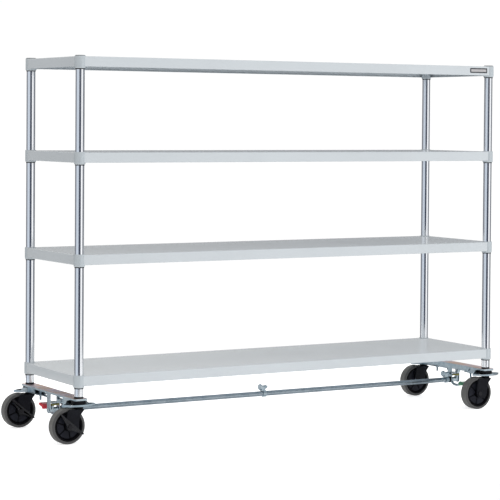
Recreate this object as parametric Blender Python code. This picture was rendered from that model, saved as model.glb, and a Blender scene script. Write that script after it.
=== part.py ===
"""Rolling steel rack: four pressed shelves on four plated posts, carried by two
end beams with swivel casters, and a central brake worked by pedals at both ends.

Metres, +Z up, the floor at z = 0. X runs along the shelves, Y from front to rear.
The origin lies on the floor, midway along the whole length, trailing wheels included.
"""
import math

import bmesh
import bpy
from mathutils import Matrix

mm = 0.001

# Clearance between pieces that touch, the overrun of a cutter past its face, the
# depth that welded forms share, and the distance under which points count as one
seat_gap = 0.3 * mm
overrun = 4 * mm
weld_depth = 0.6 * mm
merge_distance = 0.01 * mm

# Shelves: folded steel trays with a collar tube in each corner
shelf_length = 1800 * mm
shelf_depth = 450 * mm
shelf_face_height = 36 * mm
shelf_sheet = 1.5 * mm
shelf_lip = 14 * mm
post_inset = 17 * mm
first_shelf_height = 234 * mm
shelf_pitches = (421 * mm, 355 * mm, 333 * mm)
collar_wall = 3.6 * mm
collar_rise = 1.5 * mm
collar_drop = 6.5 * mm
collar_taper = 2.2 * mm
stiffener_width = 80 * mm
stiffener_depth = 24 * mm
stiffener_end_space = 70 * mm
round_sides = 16
small_sides = 12

# Posts, their top caps and the rubber feet that they stand on
post_radius = 15.9 * mm
post_wall = 1.6 * mm
cap_flange_wider = 1.6 * mm
cap_flange_height = 2 * mm
cap_plug_length = 14 * mm
cap_edge = 1 * mm
foot_height = 5 * mm
foot_spigot_length = 22 * mm

# End beams: shallow channels along Y, with cheeks that hang down for the brake shaft
beam_top = 156 * mm
beam_sheet = 3 * mm
beam_width = 50 * mm
beam_overhang = 22 * mm
beam_lip_height = 7 * mm
beam_corner_radius = 7 * mm
beam_inner_flange_height = 20 * mm
beam_inner_flange_length = 276 * mm
beam_inner_flange_slope = 12 * mm
cheek_width = 26 * mm
cheek_sheet = 3 * mm
cheek_spacing = 40 * mm

# Casters: a fixed head under the beam, a swivelling fork, an axle bolt and a wheel
wheel_radius = 62.5 * mm
wheel_width = 36 * mm
wheel_sides = 28
rim_sides = 18
wheel_room_sides = 20
tyre_thickness = 10 * mm
tyre_shoulder = 4.5 * mm
rim_inset = 1.5 * mm
rim_wall = 6 * mm
disc_inset = 6 * mm
disc_groove_depth = 3.6 * mm
disc_spoke_gap = 4.2 * mm
spoke_gap_count = 6
hub_radius = 14.5 * mm
axle_radius = 5 * mm
axle_head_radius = 8.5 * mm
axle_head_height = 3.4 * mm
axle_nut_height = 5.5 * mm
caster_trail = 45 * mm
head_radius = 27.5 * mm
head_bottom = 133.6 * mm
head_top_radius = 17 * mm
stem_radius = 6 * mm
stem_length = 26 * mm
spigot_radius = 7.5 * mm
spigot_length = 15 * mm
neck_radius = 16 * mm
neck_bottom = 112 * mm
crown_top = 120.8 * mm
crown_back = 12 * mm
leg_thickness = 6.5 * mm
leg_edge = 1.4 * mm
wheel_side_room = 1.6 * mm
wheel_top_room = 2.6 * mm
leg_front_shares = ((0.20, 1.0), (0.21, 0.93), (-0.01, 0.73), (-0.18, 0.42), (-0.21, 0.01),
                    (-0.29, -0.18), (-0.47, -0.30))
leg_rear_shares = ((-0.98, -0.30), (-1.20, -0.18), (-1.30, 0.01), (-1.29, 0.42),
                   (-1.18, 0.85), (-1.04, 1.0))
rim_rest_turns = {"front_left": 20, "rear_left": 39, "front_right": 41, "rear_right": 8}

# Brake levers on the two left-hand wheels
wheel_lever_length = 110 * mm
wheel_lever_thickness = 4 * mm
wheel_lever_eye_radius = 12 * mm
wheel_lever_eye_drop = 11 * mm
wheel_lever_edge_height = 6 * mm
wheel_lever_slope = math.radians(40)
wheel_lever_recess = 1.5 * mm
wheel_lever_rim = 2.4 * mm

# Ring levers: a pointed loop round each caster head, rocking on a bolt in the beam
ring_half_length = 64 * mm
ring_half_width = 32 * mm
ring_strap = 8 * mm
ring_rim_thickness = 2.6 * mm
ring_rim_height = 6.4 * mm
ring_plate = 3 * mm
ring_plate_bottom = 129.8 * mm
ring_arc_steps = 12
ring_wall_height = 17 * mm
ring_wall_half_length = 44 * mm
ring_wall_slope = 8 * mm
neck_half_width = 21.2 * mm
neck_wall_top = 149.6 * mm
neck_inner_reach = 15 * mm
lever_bolt_share = 0.27
tail_width = 13 * mm
tail_side_space = 1 * mm
tail_bend_start = 28 * mm
tail_bend_end = 20 * mm
tail_past_centre = 19 * mm
tail_lift_room = 0.9 * mm
lever_bolt_radius = 4 * mm
lever_bolt_hole_room = 0.8 * mm
lever_bolt_shoulder_radius = 7 * mm
lever_bolt_shoulder_height = 3 * mm
lever_nut_radius = 6.5 * mm
lever_nut_height = 5.5 * mm
lever_bolt_end = 109 * mm

# Brake shaft: crank shafts in the end beams, two long tubes between them, couplings
shaft_height = 89 * mm
crank_radius = 24 * mm
crank_rest_angle = math.radians(32)
crank_pin_radius = 4 * mm
crank_eye_radius = 9 * mm
crank_arm_width = 7 * mm
crank_arm_offset = 5 * mm
crank_side_room = 1.6 * mm
journal_radius = 6 * mm
pedal_boss_radius = 9.6 * mm
shaft_head_radius = 9 * mm
shaft_head_height = 3.4 * mm
shaft_collar_radius = 11.5 * mm
shaft_collar_length = 8.5 * mm
shaft_plug_length = 46 * mm
tube_radius = 9.5 * mm
tube_wall = 1.5 * mm
tube_sides = 16
coupling_wall = 3 * mm
coupling_length = 13 * mm
coupling_lug_width = 12 * mm
coupling_lug_overhang = 6.5 * mm
coupling_bolt_rise = 25 * mm
coupling_bolt_radius = 5 * mm
coupling_head_radius = 12 * mm
coupling_head_height = 7 * mm
coupling_nut_radius = 7 * mm
coupling_nut_height = 5 * mm
middle_coupling_x = -9 * mm
end_coupling_offset = 36.5 * mm

# Pedals: a bent round bar under each boss and a moulded pad on its end
pedal_rest_angle = math.radians(7)
pedal_bar_radius = 5 * mm
pedal_bar_sides = 12
pedal_bar_offset = 5 * mm
pedal_reach = 56 * mm
pedal_drop = 17 * mm
pedal_bar_shares = ((0, -0.59), (0, -0.75), (0.12, -0.97), (0.42, -1.0), (0.68, -0.85),
                    (0.84, -0.35), (0.94, -0.05), (1.0, -0.05))
pad_length = 34 * mm
pad_depth = 36 * mm
pad_height = 13 * mm
pad_edge = 2.5 * mm
pad_shares = ((0, 0.28), (0, -0.95), (0.14, -0.90), (0.30, -0.50), (0.75, -0.42),
              (1.0, -0.30), (1.0, 0.16), (0.88, 0.35), (0.08, 0.35))

# Places worked out from the sizes
post_x = shelf_length / 2 - post_inset
post_y = shelf_depth / 2 - post_inset
rack_x = (caster_trail + wheel_radius - ring_half_length) / 2
collar_radius = post_radius + seat_gap + collar_wall
beam_under = beam_top - beam_sheet
beam_length = 2 * (post_y + beam_overhang)
lever_bolt_y = lever_bolt_share * 2 * post_y
shelf_heights = [first_shelf_height]
for pitch in shelf_pitches:
    shelf_heights.append(shelf_heights[-1] + pitch)
leg_inner = wheel_width / 2 + wheel_side_room
leg_outer = leg_inner + leg_thickness
lever_outer = leg_outer + seat_gap + wheel_lever_thickness
axle_end_reach = lever_outer + seat_gap + axle_head_height
ends = (("left", -1), ("right", 1))
sides = (("front", -1), ("rear", 1))


def clear_scene():
    for item in list(bpy.data.objects):
        bpy.data.objects.remove(item, do_unlink=True)


def principled(name, colour, roughness, metallic):
    material = bpy.data.materials.new(name)
    material.use_nodes = True
    shader = material.node_tree.nodes["Principled BSDF"]
    shader.inputs["Base Color"].default_value = (*colour, 1)
    shader.inputs["Roughness"].default_value = roughness
    shader.inputs["Metallic"].default_value = metallic
    material.diffuse_color = (*colour, 1)
    return material


def mesh_from(bm, name):
    bmesh.ops.remove_doubles(bm, verts=bm.verts, dist=merge_distance)
    bmesh.ops.recalc_face_normals(bm, faces=bm.faces)
    mesh = bpy.data.meshes.new(name)
    bm.to_mesh(mesh)
    bm.free()
    return mesh


def moved(mesh, shift=(0, 0, 0), turn=0, axis="Z"):
    """Turn a mesh about an axis through the origin, then shift it."""
    mesh.transform(Matrix.Translation(shift) @ Matrix.Rotation(turn, 4, axis))
    return mesh


def revolve(name, profile, steps, axis="Z", hollow=False):
    """Spin (radius, height) points into a closed body about Z, X or Y."""
    bm = bmesh.new()
    corners = [bm.verts.new((radius, 0, height)) for radius, height in profile]
    for first, second in zip(corners, corners[1:]):
        bm.edges.new((first, second))
    if hollow:
        bm.edges.new((corners[-1], corners[0]))
    bmesh.ops.spin(bm, geom=bm.verts[:] + bm.edges[:], cent=(0, 0, 0), axis=(0, 0, 1),
                   angle=math.tau, steps=steps, use_merge=True)
    bmesh.ops.remove_doubles(bm, verts=bm.verts, dist=merge_distance)
    middles = [vert for vert in bm.verts if vert.co.xy.length < merge_distance]
    bmesh.ops.dissolve_verts(bm, verts=middles)
    if axis == "X":
        bmesh.ops.rotate(bm, verts=bm.verts, cent=(0, 0, 0),
                         matrix=Matrix.Rotation(math.pi / 2, 3, "Y"))
    if axis == "Y":
        bmesh.ops.rotate(bm, verts=bm.verts, cent=(0, 0, 0),
                         matrix=Matrix.Rotation(-math.pi / 2, 3, "X"))
    return mesh_from(bm, name)


def prism(name, outline, low, high, across="Z"):
    """Extrude a closed outline from low to high along the axis named by across."""
    place = {
        "Z": lambda a, b: (a, b, low),
        "Y": lambda a, b: (a, low, b),
        "X": lambda a, b: (low, a, b),
    }[across]
    way = {"Z": (0, 0, high - low), "Y": (0, high - low, 0), "X": (high - low, 0, 0)}[across]
    bm = bmesh.new()
    face = bm.faces.new([bm.verts.new(place(a, b)) for a, b in outline])
    grown = bmesh.ops.extrude_face_region(bm, geom=[face])
    verts = [item for item in grown["geom"] if isinstance(item, bmesh.types.BMVert)]
    bmesh.ops.translate(bm, vec=way, verts=verts)
    return mesh_from(bm, name)


def block(name, low, high):
    """A box between two corners."""
    outline = [(low[0], low[1]), (high[0], low[1]), (high[0], high[1]), (low[0], high[1])]
    return prism(name, outline, low[2], high[2])


def rod(name, radius, low, high, steps, axis="Z"):
    """A plain round bar along an axis, from low to high."""
    return revolve(name, [(0, low), (radius, low), (radius, high), (0, high)], steps, axis)


def hexagon(name, radius, low, high, axis="Z"):
    """A hexagonal head or nut along an axis, from low to high."""
    return rod(name, radius, low, high, 6, axis)


def joined(meshes):
    """Put several meshes that don't touch into one, for use as one cutter."""
    bm = bmesh.new()
    for mesh in meshes:
        bm.from_mesh(mesh)
    return mesh_from(bm, meshes[0].name)


def combine(mesh, tool, operation):
    """Apply one exact Boolean and return the new mesh."""
    body = bpy.data.objects.new("body", mesh)
    cutter = bpy.data.objects.new("cutter", tool)
    for item in (body, cutter):
        bpy.context.scene.collection.objects.link(item)
    modifier = body.modifiers.new("combine", "BOOLEAN")
    modifier.operation = operation
    modifier.solver = "EXACT"
    modifier.object = cutter
    result = evaluated(body)
    bpy.data.objects.remove(cutter, do_unlink=True)
    return result


def evaluated(item):
    """Read an object's mesh with its modifiers, and delete the object."""
    graph = bpy.context.evaluated_depsgraph_get()
    result = bpy.data.meshes.new_from_object(item.evaluated_get(graph))
    bpy.data.objects.remove(item, do_unlink=True)
    return result


def weld(mesh, *tools):
    for tool in tools:
        mesh = combine(mesh, tool, "UNION")
    return mesh


def cut(mesh, *tools):
    for tool in tools:
        mesh = combine(mesh, tool, "DIFFERENCE")
    return mesh


def folded_sheet(mesh, thickness):
    """Give an open shell its wall, inwards, with sharp even folds."""
    item = bpy.data.objects.new("sheet", mesh)
    bpy.context.scene.collection.objects.link(item)
    wall = item.modifiers.new("wall", "SOLIDIFY")
    wall.thickness = thickness
    wall.offset = -1
    wall.use_even_offset = True
    return evaluated(item)


def node(name, mesh, material, parent=None, location=(0, 0, 0), turn=0, smooth_angle=35):
    """Name one sub-part, shade its round faces smooth and put it in its place."""
    mesh.materials.clear()
    mesh.materials.append(material)
    mesh.shade_smooth()
    mesh.set_sharp_from_angle(angle=math.radians(smooth_angle))
    item = bpy.data.objects.new(name, mesh)
    bpy.context.scene.collection.objects.link(item)
    item.location = location
    item.rotation_euler = (0, 0, turn)
    item.parent = parent
    return item


def joint_frame(name, location, turn=0, parent=None):
    """An empty on a joint's axis, which carries the pieces that move with it."""
    frame = bpy.data.objects.new(name, None)
    bpy.context.scene.collection.objects.link(frame)
    frame.empty_display_size = seat_gap
    frame.location = location
    frame.rotation_euler = (0, 0, turn)
    frame.parent = parent
    return frame


def corner_places():
    """The four corners as (end, side, x, y), in the rack's own frame."""
    for end, end_sign in ends:
        for side, side_sign in sides:
            yield end, side, rack_x + end_sign * post_x, side_sign * post_y


def shelf_tray():
    """A sheet folded down on four sides, with a lip turned in along the bottom."""
    bm = bmesh.new()
    bmesh.ops.create_cube(bm, size=1)
    bmesh.ops.scale(bm, vec=(shelf_length, shelf_depth, shelf_face_height), verts=bm.verts)
    bmesh.ops.translate(bm, vec=(0, 0, -shelf_face_height / 2), verts=bm.verts)
    bottom = [face for face in bm.faces if face.normal.z < -0.5]
    bmesh.ops.inset_region(bm, faces=bottom, thickness=shelf_lip, depth=0)
    bmesh.ops.delete(bm, geom=bottom, context="FACES")
    return folded_sheet(mesh_from(bm, "shelf"), shelf_sheet)


def shelf_stiffener():
    """A channel welded under the sheet along the middle of the shelf."""
    reach = post_x - stiffener_end_space
    half = stiffener_width / 2
    top = -shelf_sheet + weld_depth
    low = -shelf_sheet - stiffener_depth
    outline = [
        (-half, top), (-half, low), (half, low), (half, top),
        (half - shelf_sheet, top), (half - shelf_sheet, low + shelf_sheet),
        (-half + shelf_sheet, low + shelf_sheet), (-half + shelf_sheet, top),
    ]
    return prism("stiffener", outline, -reach, reach, across="X")


def shelf_mesh():
    """The tray with its corners notched out and a collar tube welded into each."""
    low = -shelf_face_height - collar_drop
    notches = []
    collars = []
    bores = []
    for x_sign in (-1, 1):
        for y_sign in (-1, 1):
            xs = sorted((x_sign * post_x, x_sign * (post_x + post_inset + overrun)))
            ys = sorted((y_sign * post_y, y_sign * (post_y + post_inset + overrun)))
            notches.append(block("notch", (xs[0], ys[0], low - overrun),
                                 (xs[1], ys[1], overrun)))
            place = (x_sign * post_x, y_sign * post_y, 0)
            profile = [
                (0, collar_rise), (collar_radius, collar_rise),
                (collar_radius, low + collar_taper * 2),
                (collar_radius - collar_taper, low), (0, low),
            ]
            collars.append(moved(revolve("collar", profile, round_sides), place))
            bores.append(moved(rod("bore", post_radius + seat_gap, low - overrun,
                                   collar_rise + overrun, round_sides), place))
    tray = cut(weld(shelf_tray(), shelf_stiffener()), joined(notches))
    return cut(weld(tray, joined(collars)), joined(bores))


def make_shelves(paint):
    names = ("shelf_bottom", "shelf_lower_middle", "shelf_upper_middle", "shelf_top")
    mesh = shelf_mesh()
    for name, height in zip(names, shelf_heights):
        node(name, mesh, paint, location=(rack_x, 0, height))


def make_posts(plated, black_plastic, black_rubber):
    """Tubes that run through all the collars, from the rubber feet to the caps."""
    bottom = beam_top + seat_gap + foot_height + seat_gap
    top = shelf_heights[-1] + collar_rise
    inner = post_radius - post_wall
    tube = revolve("post", [(inner, bottom), (post_radius, bottom), (post_radius, top),
                            (inner, top)], round_sides, hollow=True)
    flange = post_radius + cap_flange_wider
    under = top + seat_gap
    crest = under + cap_flange_height
    cap = revolve("post_cap", [
        (0, top - cap_plug_length), (inner - seat_gap, top - cap_plug_length),
        (inner - seat_gap, under), (flange, under), (flange, crest - cap_edge),
        (flange - cap_edge, crest), (0, crest),
    ], round_sides)
    base = beam_top + seat_gap
    bore = stem_radius + seat_gap
    spigot_top = base + foot_height + foot_spigot_length
    foot = revolve("post_foot", [
        (bore, base), (post_radius, base), (post_radius, base + foot_height),
        (inner - seat_gap, base + foot_height), (inner - seat_gap, spigot_top),
        (bore, spigot_top),
    ], round_sides, hollow=True)
    for end, side, x, y in corner_places():
        node(f"post_{side}_{end}", tube, plated, location=(x, y, 0))
        node(f"post_cap_{side}_{end}", cap, black_plastic, location=(x, y, 0))
        node(f"post_foot_{side}_{end}", foot, black_rubber, location=(x, y, 0))


def beam_channel():
    """The top plate with a short lip folded down all round it."""
    bm = bmesh.new()
    bmesh.ops.create_cube(bm, size=1)
    bmesh.ops.scale(bm, vec=(beam_width, beam_length, beam_lip_height), verts=bm.verts)
    bmesh.ops.translate(bm, vec=(0, 0, beam_top - beam_lip_height / 2), verts=bm.verts)
    upright = [edge for edge in bm.edges
               if abs(edge.verts[0].co.z - edge.verts[1].co.z) > beam_lip_height / 2]
    bmesh.ops.bevel(bm, geom=upright, offset=beam_corner_radius, segments=2,
                    profile=0.5, affect="EDGES", material=-1)
    bottom = [face for face in bm.faces if face.normal.z < -0.5]
    bmesh.ops.delete(bm, geom=bottom, context="FACES_ONLY")
    return folded_sheet(mesh_from(bm, "end_beam"), beam_sheet)


def beam_cheek(x_low):
    """A hanging plate with a round lower end about the brake shaft."""
    half = cheek_width / 2
    steps = 8
    outline = [(half, beam_under + weld_depth), (-half, beam_under + weld_depth)]
    for step in range(steps + 1):
        angle = math.pi + math.pi * step / steps
        outline.append((half * math.cos(angle), shaft_height + half * math.sin(angle)))
    return prism("cheek", outline, x_low, x_low + cheek_sheet, across="X")


def beam_mesh():
    """The left-hand beam: its outer side is towards -X, and the tall flange is inside."""
    flange_x = beam_width / 2 - beam_sheet
    half = beam_inner_flange_length / 2
    low = beam_top - beam_inner_flange_height
    flange = prism("flange", [
        (-half, beam_under + weld_depth), (half, beam_under + weld_depth),
        (half, beam_top - beam_lip_height), (half - beam_inner_flange_slope, low),
        (-half + beam_inner_flange_slope, low), (-half, beam_top - beam_lip_height),
    ], flange_x, beam_width / 2, across="X")
    outer = cheek_spacing / 2
    mesh = weld(beam_channel(), flange, beam_cheek(-outer), beam_cheek(outer - cheek_sheet))
    bores = [moved(rod("bearing", journal_radius + seat_gap, -beam_width, beam_width,
                       round_sides, "X"), (0, 0, shaft_height))]
    for sign in (-1, 1):
        for radius, y in ((stem_radius, post_y), (lever_bolt_radius, lever_bolt_y)):
            hole = rod("hole", radius + seat_gap, beam_under - overrun, beam_top + overrun,
                       small_sides)
            bores.append(moved(hole, (0, sign * y, 0)))
    return cut(mesh, joined(bores))


def lever_bolt_mesh():
    """The stud that a ring lever rocks on: flush above, shouldered, its nut below."""
    seat = beam_under - seat_gap
    nut = ring_plate_bottom - seat_gap
    return weld(
        rod("lever_bolt", lever_bolt_radius, lever_bolt_end, beam_top, small_sides),
        rod("shoulder", lever_bolt_shoulder_radius, seat - lever_bolt_shoulder_height, seat,
            round_sides),
        hexagon("nut", lever_nut_radius, nut - lever_nut_height, nut))


def make_beams(zinc):
    beam = beam_mesh()
    bolt = lever_bolt_mesh()
    for end, sign in ends:
        turn = 0 if sign < 0 else math.pi
        x = rack_x + sign * post_x
        node(f"end_beam_{end}", beam, zinc, location=(x, 0, 0), turn=turn)
        for side, side_sign in sides:
            node(f"lever_bolt_{side}_{end}", bolt, zinc,
                 location=(x, side_sign * lever_bolt_y, 0))


def caster_head_mesh():
    """A domed bearing head, its stem up through beam and foot, its spigot down."""
    top = beam_under - seat_gap
    height = top - head_bottom
    shoulder_shares = ((0.66, 0.80), (0.94, 0.58), (1.0, 0.36), (0.97, 0.10))
    profile = [(0, top + stem_length), (stem_radius, top + stem_length), (stem_radius, top),
               (head_top_radius, top)]
    for radius_share, height_share in shoulder_shares:
        profile.append((head_radius * radius_share, head_bottom + height * height_share))
    profile += [(neck_radius + seat_gap, head_bottom), (spigot_radius, head_bottom),
                (spigot_radius, head_bottom - spigot_length), (0, head_bottom - spigot_length)]
    return revolve("caster_head", profile, round_sides)


def leg_outline():
    """A fork leg from the side: it slopes back under the crown to a broad rounded foot."""
    height = crown_top - wheel_radius
    return [(caster_trail * x_share, wheel_radius + height * z_share)
            for x_share, z_share in leg_front_shares + leg_rear_shares]


def fork_mesh():
    """A neck on two broad legs, hollowed for the wheel and bored for spigot and axle."""
    bm = bmesh.new()
    bm.from_mesh(prism("fork", leg_outline(), -leg_outer, leg_outer, across="Y"))
    rim = [edge for edge in bm.edges
           if abs(edge.verts[0].co.y - edge.verts[1].co.y) < seat_gap]
    bmesh.ops.bevel(bm, geom=rim, offset=leg_edge, segments=1, profile=0.5,
                    affect="EDGES", material=-1)
    back_room = block("back_room", (-caster_trail - wheel_radius, -leg_inner, -overrun),
                      (-crown_back, leg_inner, crown_top + overrun))
    neck_top = head_bottom - seat_gap
    neck = rod("neck", neck_radius, neck_bottom, neck_top, round_sides)
    wheel_room = moved(rod("wheel_room", wheel_radius + wheel_top_room, -leg_inner, leg_inner,
                           wheel_room_sides, "Y"), (-caster_trail, 0, wheel_radius))
    spigot_bore = rod("spigot_bore", spigot_radius + seat_gap,
                      head_bottom - spigot_length - seat_gap, neck_top + overrun, round_sides)
    axle_bore = moved(rod("axle_bore", axle_radius + seat_gap, -leg_outer - overrun,
                          leg_outer + overrun, small_sides, "Y"),
                      (-caster_trail, 0, wheel_radius))
    body = weld(cut(mesh_from(bm, "fork"), back_room), neck)
    return cut(body, wheel_room, spigot_bore, axle_bore)


def axle_mesh(head_face):
    """The axle bolt about Y: a round head in front, a nut and thread end behind."""
    head_end = head_face + seat_gap + axle_head_height
    nut_face = leg_outer + seat_gap
    bolt = revolve("axle", [
        (0, -head_end), (axle_head_radius - cap_edge, -head_end),
        (axle_head_radius, -head_end + cap_edge), (axle_head_radius, -head_face - seat_gap),
        (axle_radius, -head_face - seat_gap), (axle_radius, axle_end_reach - cap_edge),
        (axle_radius - cap_edge, axle_end_reach), (0, axle_end_reach),
    ], small_sides, "Y")
    return weld(bolt, hexagon("nut", axle_head_radius, nut_face,
                              nut_face + axle_nut_height, "Y"))


def rim_mesh():
    """The nylon wheel centre: hub, grooved disc with radial gaps, and outer rim."""
    edge = wheel_width / 2 - rim_inset
    outer = wheel_radius - tyre_thickness
    disc = wheel_width / 2 - disc_inset
    groove = disc - disc_groove_depth
    hub_end = leg_inner - seat_gap
    half = [
        (axle_radius + seat_gap, hub_end), (hub_radius, hub_end),
        (hub_radius, disc), (outer - rim_wall - 2 * rim_inset, disc),
        (outer - rim_wall - rim_inset, groove), (outer - rim_wall, edge), (outer, edge),
    ]
    profile = half + [(radius, -height) for radius, height in reversed(half)]
    mesh = revolve("wheel_rim", profile, rim_sides, "Y", hollow=True)
    gaps = []
    inner = hub_radius + rim_inset
    reach = outer - rim_wall - 1.5 * rim_inset
    floor = groove + disc_groove_depth / 8
    for index in range(spoke_gap_count):
        for low, high in ((-edge, -floor), (floor, edge)):
            bar = block("gap", (inner, low, -disc_spoke_gap / 2), (reach, high, disc_spoke_gap / 2))
            gaps.append(moved(bar, turn=math.tau * index / spoke_gap_count, axis="Y"))
    return cut(mesh, joined(gaps))


def tyre_mesh():
    """A rubber tyre with rounded shoulders, one facet flat on the floor."""
    round_out = 1 / math.cos(math.pi / wheel_sides)
    inner = (wheel_radius - tyre_thickness + seat_gap) * round_out
    half_width = wheel_width / 2
    tread = wheel_radius * round_out
    half = [
        (inner, half_width), (tread - tyre_shoulder / 2, half_width - tyre_shoulder / 4),
        (tread, half_width - tyre_shoulder),
    ]
    profile = half + [(radius, -width) for radius, width in reversed(half)]
    mesh = revolve("wheel_tyre", profile, wheel_sides, "Y", hollow=True)
    return moved(mesh, turn=math.pi / wheel_sides, axis="Y")


def wheel_lever_mesh():
    """A pressed lever across the wheel's front face, rocking on the axle bolt."""
    half = wheel_lever_length / 2
    edge = wheel_lever_edge_height / 2
    eye = wheel_lever_eye_radius
    outline = [(-half, edge), (-half - edge, 0), (-half, -edge)]
    steps = 6
    for step in range(steps + 1):
        angle = math.pi * (1.14 + 0.72 * step / steps)
        outline.append((eye * math.cos(angle),
                        eye * math.sin(angle) - wheel_lever_eye_drop))
    outline += [(half, -edge), (half + edge, 0), (half, edge)]
    back = -leg_outer - seat_gap
    front = back - wheel_lever_thickness
    mesh = prism("wheel_lever", outline, front, back, across="Y")
    pocket = prism("pocket", [
        (-half + wheel_lever_rim, -edge), (-eye, -edge), (eye, -edge),
        (half - wheel_lever_rim, -edge), (eye / 2, -wheel_lever_eye_drop + edge),
        (-eye / 2, -wheel_lever_eye_drop + edge),
    ], front - overrun, front + wheel_lever_recess, across="Y")
    bore = moved(rod("bore", axle_radius + seat_gap, front - overrun, overrun, small_sides,
                     "Y"), (0, 0, -wheel_lever_eye_drop))
    mesh = moved(cut(mesh, pocket, bore), (0, 0, wheel_lever_eye_drop))
    return moved(mesh, turn=wheel_lever_slope, axis="Y")


def make_casters(black_nylon, dark_nylon, rubber, dark_steel):
    """Four alike casters, all trailing towards -X; the left-hand two have a lever."""
    head = caster_head_mesh()
    fork = fork_mesh()
    rim = rim_mesh()
    tyre = tyre_mesh()
    lever = wheel_lever_mesh()
    plain_axle = axle_mesh(leg_outer)
    lever_axle = axle_mesh(lever_outer)
    for end, side, x, y in corner_places():
        corner = f"{side}_{end}"
        has_lever = end == "left"
        node(f"caster_head_{corner}", head, black_nylon, location=(x, y, 0))
        swivel = joint_frame(f"swivel_axis_{corner}", (x, y, 0))
        spin = joint_frame(f"wheel_axis_{corner}", (-caster_trail, 0, wheel_radius),
                           parent=swivel)
        node(f"caster_fork_{corner}", fork, black_nylon, parent=swivel)
        axle = lever_axle if has_lever else plain_axle
        node(f"wheel_axle_{corner}", axle, dark_steel, parent=spin)
        rim_turn = math.radians(rim_rest_turns[corner])
        node(f"wheel_rim_{corner}", moved(rim.copy(), turn=rim_turn, axis="Y"), dark_nylon,
             parent=spin)
        node(f"wheel_tyre_{corner}", tyre, rubber, parent=spin)
        if has_lever:
            node(f"wheel_lever_{corner}", lever, black_nylon, parent=spin)


def pointed_loop(half_length, half_width):
    """Two equal arcs that meet in a point at each end, as a closed outline."""
    radius = (half_length ** 2 + half_width ** 2) / (2 * half_width)
    reach = math.asin(half_length / radius)
    outline = []
    for sign in (1, -1):
        for step in range(ring_arc_steps):
            angle = reach * (1 - 2 * step / ring_arc_steps)
            outline.append((sign * radius * math.sin(angle),
                            sign * (radius * math.cos(angle) - radius + half_width)))
    return outline


def ring_lever_mesh():
    """The lever of a rear caster, about its own rocking axis at the bolt."""
    low = ring_plate_bottom
    top = low + ring_plate
    rim_top = low + ring_rim_height
    wall_top = low + ring_wall_height
    inner_length = ring_half_length - 2 * ring_rim_thickness
    inner_width = ring_half_width - ring_rim_thickness
    centre = (0, post_y, 0)
    loop = prism("ring_lever", pointed_loop(ring_half_length, ring_half_width), low, wall_top)
    hollow = prism("hollow", pointed_loop(inner_length, inner_width), top, wall_top + overrun)
    opening = prism("opening", pointed_loop(ring_half_length - 2 * ring_strap,
                                            ring_half_width - ring_strap),
                    low - overrun, top + overrun)
    beyond = ring_half_length + overrun
    far_half = block("far_half", (-beyond, -ring_strap / 2, rim_top),
                     (beyond, beyond, wall_top + overrun))
    slopes = []
    for sign in (-1, 1):
        slopes.append(prism("slope", [
            (sign * beyond, rim_top), (sign * beyond, wall_top + overrun),
            (sign * (ring_wall_half_length - ring_wall_slope), wall_top + overrun),
            (sign * (ring_wall_half_length - ring_wall_slope), wall_top),
            (sign * ring_wall_half_length, rim_top),
        ], -beyond, overrun, across="Y"))
    loop = moved(cut(loop, hollow, opening, far_half, *slopes), centre)
    neck_end = lever_bolt_y - neck_inner_reach
    strap_inside = post_y - ring_half_width + ring_strap / 2
    tail_left = -tail_side_space - tail_width
    tail_right = -tail_side_space
    plate = prism("plate", [
        (-neck_half_width, strap_inside), (-neck_half_width, neck_end),
        (tail_left, neck_end - neck_inner_reach), (tail_right, neck_end - neck_inner_reach),
        (neck_half_width, neck_end), (neck_half_width, strap_inside),
    ], low, top)
    pin_top = shaft_height + crank_radius * math.cos(crank_rest_angle) + crank_pin_radius
    tail_low = pin_top + tail_lift_room
    tail = prism("tail", [
        (neck_end, low), (neck_end, top), (tail_bend_start, top),
        (tail_bend_end, tail_low + ring_plate), (-tail_past_centre, tail_low + ring_plate),
        (-tail_past_centre, tail_low), (tail_bend_end, tail_low), (tail_bend_start, low),
    ], tail_left, tail_right, across="X")
    walls = []
    wall_near = lever_bolt_y + lever_nut_radius
    slope = ring_rim_height
    for sign in (-1, 1):
        xs = sorted((sign * neck_half_width, sign * (neck_half_width - ring_plate)))
        walls.append(prism("wall", [
            (wall_near, low), (wall_near, neck_wall_top - slope),
            (wall_near + slope, neck_wall_top), (strap_inside - slope, neck_wall_top),
            (strap_inside, neck_wall_top - slope), (strap_inside, low),
        ], xs[0], xs[1], across="X"))
    mesh = weld(loop, plate, tail, *walls)
    bolt_hole = rod("bolt_hole", lever_bolt_radius + lever_bolt_hole_room,
                    low - overrun, top + overrun, small_sides)
    mesh = cut(mesh, moved(bolt_hole, (0, lever_bolt_y, 0)))
    return moved(mesh, (0, -lever_bolt_y, -low))


def make_ring_levers(zinc):
    lever = ring_lever_mesh()
    for end, sign in ends:
        for side, side_sign in sides:
            place = (rack_x + sign * post_x, side_sign * lever_bolt_y, ring_plate_bottom)
            turn = 0 if side_sign > 0 else math.pi
            axis = joint_frame(f"ring_lever_axis_{side}_{end}", place, turn=turn)
            node(f"ring_lever_{side}_{end}", lever, zinc, parent=axis)


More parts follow.
